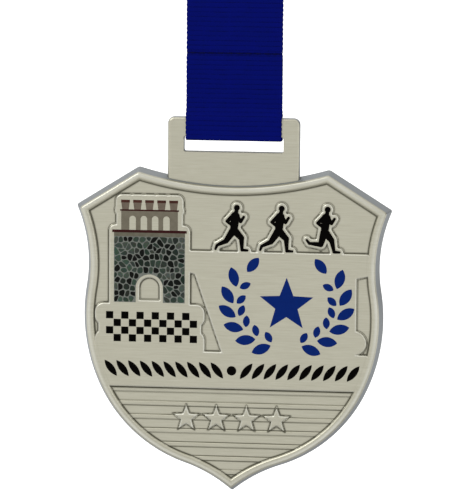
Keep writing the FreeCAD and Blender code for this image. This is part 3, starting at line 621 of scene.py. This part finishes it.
def level_line(values, level):
    """The points and joining segments of one contour, found cell by cell on the grid."""
    above = values > level
    crossings, ids, count = [], [], 0
    for across, up in ((1, 0), (0, 1)):
        changes = above[up:, across:] != above[:above.shape[0] - up, :above.shape[1] - across]
        rows, cols = np.nonzero(changes)
        low, high = values[rows, cols], values[rows + up, cols + across]
        move = (level - low) / (high - low) * grid_step
        crossings.append(np.stack([grid_x[rows, cols] + move * across, grid_z[rows, cols] + move * up], 1))
        ids.append(np.full(changes.shape, -1))
        ids[-1][rows, cols] = count + np.arange(len(rows))
        count += len(rows)
    level_id, upright_id = ids
    sides = np.stack([level_id[:-1], upright_id[:, 1:], level_id[1:], upright_id[:, :-1]], -1)
    used = sides >= 0
    total = used.sum(-1)
    segments = []
    for i in range(4):
        for j in range(i + 1, 4):
            both = (total == 2) & used[..., i] & used[..., j]
            segments.append(sides[both][:, [i, j]])
    saddle = sides[total == 4]
    segments += [saddle[:, [0, 1]], saddle[:, [2, 3]]]
    return np.concatenate(crossings), np.concatenate(segments)


points = [front_outline]
links = [np.stack([np.arange(len(front_outline)), np.roll(np.arange(len(front_outline)), -1)], 1)]
filled = len(front_outline)
contours = [(grid_t, level) for level in
            (0.05, 0.15, 0.3, 0.45, 0.6, 0.92, 1.25, 1.48, 1.68, 1.83, 1.95, 2.02, 2.05, 2.17, 2.35, 2.65)]
contours += [(grid_ground, level) for level in
             (-0.85, -0.50, -0.34, -0.20, -0.10, -0.03, 0.0, 0.12, 0.30, 0.60)]
contours += [(grid_star, level) for level in (-0.50, -0.34, -0.20, -0.10, -0.03, 0.0, 0.12, 0.30, 0.60)]
for values, level in contours:
    found, pairs = level_line(values, level)
    points.append(found)
    links.append(pairs + filled)
    filled += len(found)
rib_edges = []
z = panel_top
while z > -93:
    for edge, inward in ((z, -1), (z - rib_tall, 1)):
        for away in (0.30, 0.16, 0.06, 0.02, 0.0, -0.12, -0.30, -0.60):
            rib_edges.append(edge + inward * away)
    z -= rib_gap
for level in rib_edges:
    if level < panel_top + 0.01:
        hits = front_outline[np.abs(front_outline[:, 1] - level) < 0.4]
        reach = np.abs(hits[:, 0]).max() - 1.5 if len(hits) else 0.0
        if reach > 1.0:
            points.append(np.array([(-reach, level), (reach, level)]))
            links.append(np.array([(filled, filled + 1)]))
            filled += 2
flat = geometry.delaunay_2d_cdt([Vector(p) for p in np.concatenate(points).tolist()],
                                np.concatenate(links).tolist(), [], 1, 0.015)
face_points = np.array([tuple(p) for p in flat[0]])
x, z = face_points.T
t = -polygon_distance(front_outline[::2], x, z)
ground = np.maximum(ground_distance(x, z), 1.2 - t)
star, rib = star_distance(x, z), rib_distance(z)
heights = np.stack([rim_profile(t), rounded_step(ground, ground_height, edge_round),
                    rounded_step(star, ground_height, edge_round),
                    rounded_step(rib, rib_height, rib_round)])
height = heights.max(0)
on_ground = np.minimum(ground, star) < -0.01
foot = np.minimum(np.where(t < rim_width - 0.06, 1.5, np.abs(t - rim_width)), 2.0)
for distance in (ground, star):
    foot = np.minimum(foot, np.where((distance > 0) & (t > 1.9), distance, 2.0))
foot = np.where((rib > 0) & (t > rim_width), np.minimum(foot, rib * 1.4 + 0.06), foot)
inner = np.minimum(np.where(ground < 0, -ground, 2.0), np.where(star < 0, -star, 2.0))
on_ground &= t > 1.6
foot = np.where(on_ground & (inner < 0.06), 0.3 * inner / 0.06, foot)
foot = np.where(on_ground & (inner >= 0.06), np.maximum(foot + 0.2, 0.5), foot)

# the rim's crown and the strip just inside each raised edge: partly rubbed bright, partly a painted highlight
rubbed = np.where(t < rim_width, 0.9 * np.exp(-((t - 0.66) / 0.40) ** 2), 0.0)
for distance in (ground, star):
    rubbed = np.maximum(rubbed, np.exp(-((distance + 0.25) / 0.15) ** 2) * (t > 1.9))
def metres(across, depth, up):
    """A point in the scene from sizes on the medal, the depth counted from the strap's plane."""
    return across / 1000, (strap_y + depth) / 1000, (bar_z + up) / 1000


def bridged(rings):
    """The four-sided faces between each closed ring of vertices and the next."""
    return [(first[k], first[(k + 1) % len(first)], second[(k + 1) % len(first)], second[k])
            for first, second in zip(rings, rings[1:]) for k in range(len(first))]


verts = [metres(px, field_depth - h, pz) for px, pz, h in zip(x, z, height)]
tris = [tuple(f) for f in flat[2]]
foot_values, wall_values, rub_values = foot.tolist(), [0.0] * len(verts), rubbed.tolist()

# the drafted wall, the rounded back edge, the flat border and the sunk back panel
# the third number of each ring is its share of the darker wall grey, which on the walls is painted shade
profile = [(wall_draft, rim_depth + rim_round, 0.0), (1.0, rim_depth + 0.8, 1.0),
           (0.62, -0.9, 1.0), (0.14, 0.75, 1.0), (0.06, 0.95, 1.0), (0.08, 1.1, 1.0),
           (0.17, 1.21, 1.0), (0.32, back_depth, 0.6), (0.9, back_depth, 0.45),
           (3.0, back_depth, 0.45), (3.12, back_depth - 0.03, 0.45),
           (3.2, back_depth - 0.12, 0.45), (panel_inset, back_depth - 0.3, 0.45),
           (3.55, back_depth - 0.3, 0.45), (4.4, back_depth - 0.3, 0.45)]
rings = []
for inset, depth, wall in profile:
    loop = outline(inset)
    rings.append(range(len(verts), len(verts) + len(loop)))
    verts += [metres(px, depth, pz) for px, pz in loop]
    foot_values += [0.1 if inset == panel_inset else 2.0] * len(loop)
    wall_values += [wall] * len(loop)
tris += bridged(rings)
last_loop = outline(profile[-1][0])
cover = geometry.delaunay_2d_cdt(
    [Vector(p) for p in last_loop.tolist()],
    [(k, (k + 1) % len(last_loop)) for k in range(len(last_loop))], [], 1, 1e-4)
start = rings[-1][0]
for face in cover[2]:
    tris.append(tuple(start + cover[3][k][0] for k in face))

# the tab with the ribbon slot, its edges rounded, its foot let into the top wall
tab_half, tab_top, tab_foot, tab_corner = 17.15, 2.5, -17.4, 1.7
slot_half, slot_top, slot_foot, slot_corner = 12.9, -2.5, -6.4, 0.45
tab_back = back_depth - 0.02


def rounded_loop(half_wide, low, high, radius, count=10):
    """The corner points of a rounded rectangle, each corner in ten steps."""
    loop = []
    corners = [(half_wide, high, 0), (-half_wide, high, 90), (-half_wide, low, 180), (half_wide, low, 270)]
    for corner_x, corner_z, first in corners:
        middle_x = corner_x - math.copysign(radius, corner_x)
        middle_z = corner_z - radius if corner_z == high else corner_z + radius
        for k in range(count + 1):
            angle = math.radians(first + 90 * k / count)
            loop.append((middle_x + radius * math.cos(angle), middle_z + radius * math.sin(angle)))
    return loop


edge_profile = [(1.0, 0.0), (0.6, 0.0), (0.37, 0.046), (0.176, 0.176), (0.046, 0.37), (0.0, 0.6)]
tab_shape = edge_profile + [(inset, tab_back + back_depth - rise) for inset, rise in edge_profile[::-1]]
tab_and_slot = []
for inward, (half, low, high, corner), deepen in (
        (1, (tab_half, tab_foot, tab_top, tab_corner), 1.0),
        (-1, (slot_half, slot_foot, slot_top, slot_corner), 0.25)):
    rings = []
    for inset, rise in tab_shape:
        move = inward * inset * deepen
        loop = rounded_loop(half - move, low + move, high - move, max(corner - move, 0.1))
        rings.append(range(len(verts), len(verts) + len(loop)))
        verts += [metres(px, rise - back_depth, pz) for px, pz in loop]
        foot_values += [1.2] * len(loop)
        # painted shade: the outermost rings of the rounded tab and slot edges take the darker wall grey
        wall_values += [1.0 if inset < 0.1 else 0.0] * len(loop)
    tris += bridged(rings)
    tab_and_slot.append((rings[0], rings[-1]))
for outer_ring, hole_ring in zip(*tab_and_slot):
    ids = list(outer_ring) + list(hole_ring)
    size = len(outer_ring)
    border = [(k, (k + 1) % size) for k in range(size)]
    border += [(size + k, size + (k + 1) % size) for k in range(size)]
    plane = [Vector((verts[i][0] * 1000, verts[i][2] * 1000)) for i in ids]
    made = geometry.delaunay_2d_cdt(plane, border, [], 1, 1e-5)
    for face in made[2]:
        centre_x = sum(made[0][k].x for k in face) / 3
        centre_z = sum(made[0][k].y for k in face) / 3 - bar_z
        if abs(centre_x) > slot_half + 0.2 or not slot_foot - 0.2 < centre_z < slot_top + 0.2:
            tris.append(tuple(ids[made[3][k][0]] for k in face))

rub_values += [0.0] * (len(verts) - len(rub_values))
mesh = shaped("casting_body", verts, tris, foot=foot_values, wall=wall_values, rub=rub_values)
casting = joined("casting_body", [mesh], 2e-6)
casting.data.set_sharp_from_angle(angle=math.radians(38))

# Antique silver: brushed bright on the raised faces, the rim's crown and raised edges lighter still,
# partly rubbed bright and partly a painted highlight; dark patina left along the foot of every step,
# with painted shade added in tight corners; and a plain sandblasted wall and back in a darker grey,
# which on the walls is painted shade.
silver, node, shader = material("antique_silver")
place = node("ShaderNodeTexCoord", {}).outputs["Object"]
at_foot, on_wall, crest_rub_and_highlight = [
    node("ShaderNodeAttribute", {}, attribute_name=name).outputs["Fac"] for name in ("foot", "wall", "rub")]
brush_place = node("ShaderNodeMapping", {"Vector": place, "Scale": (160, 900, 4200)})
streaks = node("ShaderNodeTexNoise", {
    "Vector": brush_place.outputs[0], "Scale": 1.0, "Detail": 5.0, "Roughness": 0.6}).outputs["Fac"]
cloud = cloudy(node, place, 55.0, 3.0).outputs["Fac"]
grain = cloudy(node, place, 4200.0, 2.0).outputs["Fac"]
shift = node("ShaderNodeMath", {0: cloud, 1: 0.16, 2: at_foot}, operation="MULTIPLY_ADD")
patina = ramped(node, shift.outputs[0], (0.24, (1, 1, 1)), (0.38, (0.30, 0.30, 0.30)), (0.60, (0, 0, 0)))
# painted shade: ambient occlusion darkens the colour in tight corners, on top of the patina
nook = node("ShaderNodeAmbientOcclusion", {"Distance": 0.0009}, only_local=True, samples=8)
painted_corner_shade = node("ShaderNodeMapRange", {
    "Value": nook.outputs["AO"], "From Min": 0.75, "From Max": 0.35, "To Max": 0.75})
patina_and_painted_shade = node("ShaderNodeMath", {0: patina, 1: painted_corner_shade.outputs["Result"]}, operation="MAXIMUM")
brushed = ramped(node, streaks, (0.30, (0.345, 0.335, 0.268)), (0.72, (0.400, 0.390, 0.318)))
# painted shade: the walls take a darker grey than the faces; walls and back are also rougher and grainier
with_wall_shade = mixed(node, on_wall, brushed, (0.25, 0.265, 0.275, 1))
# these places take a lighter colour, partly rubbed wear and partly a painted highlight
uneven = node("ShaderNodeMath", {0: crest_rub_and_highlight, 1: cloud}, operation="MULTIPLY")
polish_and_highlight = mixed(node, uneven.outputs[0], with_wall_shade, (0.60, 0.605, 0.56, 1))
rough = node("ShaderNodeMath", {0: on_wall, 1: 0.22, 2: 0.36}, operation="MULTIPLY_ADD")
metal = node("ShaderNodeMapRange", {"Value": patina_and_painted_shade.outputs[0], "To Min": 0.92, "To Max": 0.35})
surface = node("ShaderNodeMix", {"Factor": on_wall, "A": streaks, "B": grain})
node(shader, {
    "Base Color": mixed(node, patina_and_painted_shade.outputs[0], polish_and_highlight, (0.065, 0.062, 0.040, 1)),
    "Roughness": rough.outputs[0], "Metallic": metal.outputs["Result"],
    "Normal": bumped(node, surface.outputs["Result"], 0.15, 0.00002)})
casting.data.materials.append(silver)
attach(casting, "medal")
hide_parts("medal_casting")

# Colour fills -----------------------------------------------------------------------------
# Enamel poured level with the raised metal. Each colour has slightly cloudy pigment and a fine
# orange-peel surface with little shine.
finishes = {
    "frieze_enamel": ((0.055, 0.052, 0.034), (0.120, 0.112, 0.086), 0.45, 0.10, ["tower_frieze"]),
    "cornice_enamel": ((0.015, 0.001, 0.001), (0.028, 0.003, 0.003), 0.35, 0.08,
                       ["tower_cornice", "tower_string_course"]),
    "gallery_enamel": ((0.088, 0.078, 0.056), (0.135, 0.122, 0.093), 0.45, 0.08, ["tower_gallery"]),
    "merlon_enamel": ((0.070, 0.056, 0.042), (0.130, 0.102, 0.078), 0.45, 0.08, ["tower_merlons"]),
    "cap_enamel": ((0.014, 0.003, 0.002), (0.060, 0.020, 0.014), 0.35, 0.08, ["merlon_caps"]),
    "navy_enamel": ((0.000, 0.0085, 0.085), (0.000, 0.012, 0.108), 0.30, 0.04,
                    ["laurel_left", "laurel_right", "large_star"]),
    "black_enamel": ((0.0004, 0.0003, 0.0002), (0.0012, 0.0010, 0.0008), 0.30, 0.015,
                     ["chequered_band", "leaf_border", "runner_1", "runner_2", "runner_3"]),
}
for name, (deep, light, roughness, shine, fills) in finishes.items():
    enamel, node, shader = material(name)
    place = node("ShaderNodeTexCoord", {}).outputs["Object"]
    pigment = cloudy(node, place, 900.0, 4.0)
    peel = node("ShaderNodeTexNoise", {"Vector": place, "Scale": 1500.0})
    node(shader, {
        "Base Color": mixed(node, pigment.outputs["Fac"], (*deep, 1), (*light, 1)),
        "Normal": bumped(node, peel.outputs["Fac"], 0.12, 0.00004),
        "Roughness": roughness, "Specular IOR Level": shine})
    for fill in fills:
        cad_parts[fill].data.materials.clear()
        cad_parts[fill].data.materials.append(enamel)

# Tower wall -------------------------------------------------------------------------------
# Rubble stones, each its own domed drop of enamel in an uneven dark tone, on a grey ground.
# The stones are the cells round scattered points, shrunk and rounded.
random = np.random.default_rng(7)
ground_low, ground_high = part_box("tower_mortar")
seeds = []
for row in range(11):
    for column in range(13):
        seeds.append((tower_x - wall_half + (column + 0.25 + 0.5 * (row % 2)) * 1.43 + random.normal(0, 0.40),
                      wall_low + (row + 0.5) * 1.58 + random.normal(0, 0.36)))
seeds = np.array(seeds)


def gate_clearance(x, z):
    """Distance outside the silver band round the gate."""
    return np.where(z < gate_spring, np.abs(x - tower_x), np.hypot(x - tower_x, z - gate_spring)) - gate_edge


verts, faces, tones = [], [], []
for i, (seed_x, seed_z) in enumerate(seeds):
    if gate_clearance(seed_x, seed_z) < 0.15:
        continue
    cell = [(tower_x - wall_half, wall_low), (tower_x + wall_half, wall_low),
            (tower_x + wall_half, wall_high), (tower_x - wall_half, wall_high)]
    gaps = np.hypot(*(seeds - seeds[i]).T)
    for other in np.argsort(gaps)[1:16]:
        nx, nz = (seeds[other] - seeds[i]) / gaps[other]
        limit = gaps[other] / 2
        kept = []
        for (ax, az), (bx, bz) in zip(cell, cell[1:] + cell[:1]):
            da = (ax - seed_x) * nx + (az - seed_z) * nz - limit
            db = (bx - seed_x) * nx + (bz - seed_z) * nz - limit
            if da <= 0:
                kept.append((ax, az))
            if (da < 0) != (db < 0) and abs(da - db) > 1e-9:
                k = da / (da - db)
                kept.append((ax + (bx - ax) * k, az + (bz - az) * k))
        cell = kept
        if len(cell) < 3:
            break
    if len(cell) < 3:
        continue
    loop = np.array(cell)
    for _ in range(4):
        loop = np.concatenate([[0.75 * a + 0.25 * b, 0.25 * a + 0.75 * b]
                               for a, b in zip(loop, np.roll(loop, -1, 0))])
    over = np.minimum(gate_clearance(loop[:, 0], loop[:, 1]) - 0.06, 0)
    low_part = loop[:, 1] < gate_spring
    away = np.stack([loop[:, 0] - tower_x, np.where(low_part, 0.0, loop[:, 1] - gate_spring)], 1)
    away /= np.linalg.norm(away, axis=1)[:, None] + 1e-9
    loop = loop - away * over[:, None]
    centre = loop.mean(0)
    size = np.linalg.norm(loop - centre, axis=1).mean()
    if size < 0.3:
        continue
    shrink = 1 - random.uniform(0.03, 0.09) / size
    dark_stone = random.random() < 0.34
    tone = (0.0 if dark_stone else random.uniform(0.25, 1.0), random.random(), 0.0)
    base = len(verts)
    for share, rise in ((1.0, 0.0), (0.97, 0.035), (0.86, 0.07), (0.6, 0.095)):
        for px, pz in centre + (loop - centre) * shrink * share:
            verts.append((px / 1000, ground_low.y - (rise + 0.015) / 1000, (bar_z + pz) / 1000))
            tones.append(tone)
    rings = [range(start, start + len(loop)) for start in range(base, len(verts), len(loop))]
    faces += bridged(rings)
    faces += [tuple(rings[-1]), tuple(rings[0])[::-1]]
stonework = joined("tower_stonework", [shaped("tower_stonework", verts, faces, tone=tones)])
stone, node, shader = material("stone_enamel")
tint = node("ShaderNodeAttribute", {}, attribute_name="tone").outputs["Vector"]
parts = node("ShaderNodeSeparateXYZ", {0: tint})
grey = ramped(node, parts.outputs["X"], (0.1, (0.0015, 0.0020, 0.0012)),
              (0.3, (0.010, 0.013, 0.010)), (1.0, (0.046, 0.054, 0.045)))
green = mixed(node, parts.outputs["Y"], grey, (0.62, 1.0, 0.86, 1), "MULTIPLY")
place = node("ShaderNodeTexCoord", {}).outputs["Object"]
fleck = cloudy(node, place, 2600.0, 4.0)
node(shader, {
    "Base Color": mixed(node, 0.6, green, fleck.outputs["Color"], "OVERLAY"),
    "Roughness": 0.42, "Specular IOR Level": 0.07})
stonework.data.materials.append(stone)
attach(stonework, "medal")
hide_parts("tower_stones")

# The grey ground between the stones, a thin plate just proud of the metal under it, with the
# gate's silver band left open.
arch = [(gate_edge * math.cos(a), gate_spring + gate_edge * math.sin(a)) for a in np.linspace(0, math.pi, 25)]
border = [(-wall_half, wall_low), (-wall_half, wall_high), (wall_half, wall_high), (wall_half, wall_low),
          (gate_edge, wall_low)] + arch + [(-gate_edge, wall_low)]
shell = bmesh.new()
front, rear = [
    [shell.verts.new(((tower_x + px) / 1000, depth, (bar_z + pz) / 1000)) for px, pz in border]
    for depth in (ground_low.y - 0.00006, ground_high.y)]
shell.faces.new(front)
shell.faces.new(rear[::-1])
for k in range(len(border)):
    n = (k + 1) % len(border)
    shell.faces.new((front[k], front[n], rear[n], rear[k]))
bmesh.ops.recalc_face_normals(shell, faces=shell.faces)
bmesh.ops.triangulate(shell, faces=shell.faces)
mesh = bpy.data.meshes.new("tower_ground")
shell.to_mesh(mesh)
shell.free()
tower_ground_piece = in_scene("tower_ground", mesh)
mortar, node, shader = material("mortar_enamel")
place = node("ShaderNodeTexCoord", {}).outputs["Object"]
sand = cloudy(node, place, 3000.0, 3.0)
node(shader, {
    "Base Color": mixed(node, sand.outputs["Fac"], (0.055, 0.062, 0.052, 1), (0.125, 0.135, 0.118, 1)),
    "Roughness": 0.6})
tower_ground_piece.data.materials.append(mortar)
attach(tower_ground_piece, "medal")
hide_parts("tower_mortar")

# Floor and light --------------------------------------------------------------------------
# A grey floor well below the medal fills the view, made pale by painted light: it glows, dimly
# under the medal and nearly white further out. A large soft light stands above and to the left of the camera,
# a weaker one to the right, and the surround is pale and dimmer low down.
floor_level = -0.42
corners = [(x, y, floor_level) for x, y in ((-9, -9), (9, -9), (9, 9), (-9, 9))]
floor = in_scene("floor", shaped("floor", corners, [(0, 1, 2, 3)]))
glowing_floor_material, node, shader = material("pale_floor")
place = node("ShaderNodeTexCoord", {}).outputs["Object"]
level = node("ShaderNodeVectorMath", {0: place, 1: (1, 1, 0)}, operation="MULTIPLY")
away = node("ShaderNodeVectorMath", {0: level.outputs[0]}, operation="LENGTH")
# painted light: the floor glows, dimly within a quarter metre of the middle and nearly white beyond about a
# metre
glow = node("ShaderNodeMapRange", {
    "Value": away.outputs["Value"], "From Min": 0.25, "From Max": 0.95, "To Min": 0.22, "To Max": 0.95},
    interpolation_type="SMOOTHSTEP")
node(shader, {
    "Base Color": (0.35, 0.35, 0.35, 1), "Roughness": 0.9,
    "Emission Color": (1, 1, 1, 1), "Emission Strength": glow.outputs["Result"]})
floor.data.materials.append(glowing_floor_material)

world = bpy.data.worlds.new("surround")
bpy.context.scene.world = world
world.use_nodes = True
node = node_maker(world.node_tree)
place = node("ShaderNodeTexCoord", {}).outputs["Generated"]
upward = node("ShaderNodeVectorMath", {0: place, 1: Vector((-0.25, -0.15, 0.95)).normalized()},
              operation="DOT_PRODUCT")
sky = node("ShaderNodeMapRange", {
    "Value": upward.outputs["Value"], "From Min": -0.3, "From Max": 0.8, "To Min": 0.12, "To Max": 1.5})
node(world.node_tree.nodes["Background"], {
    "Color": (1.0, 0.99, 0.97, 1), "Strength": sky.outputs["Result"]})

for name, place_at, size, power in (
        ("key_light", (-0.55, -0.75, 0.45), 0.5, 3.2),
        ("fill_light", (0.60, -0.70, 0.05), 0.5, 1.0)):
    lamp = bpy.data.lights.new(name, "AREA")
    lamp.shape = "DISK"
    lamp.size = size
    lamp.energy = power
    light = in_scene(name, lamp)
    light.location = place_at
    light.rotation_mode = "QUATERNION"
    light.rotation_quaternion = (aim - Vector(place_at)).to_track_quat("-Z", "Y")
bpy.context.scene.view_settings.view_transform = "Standard"
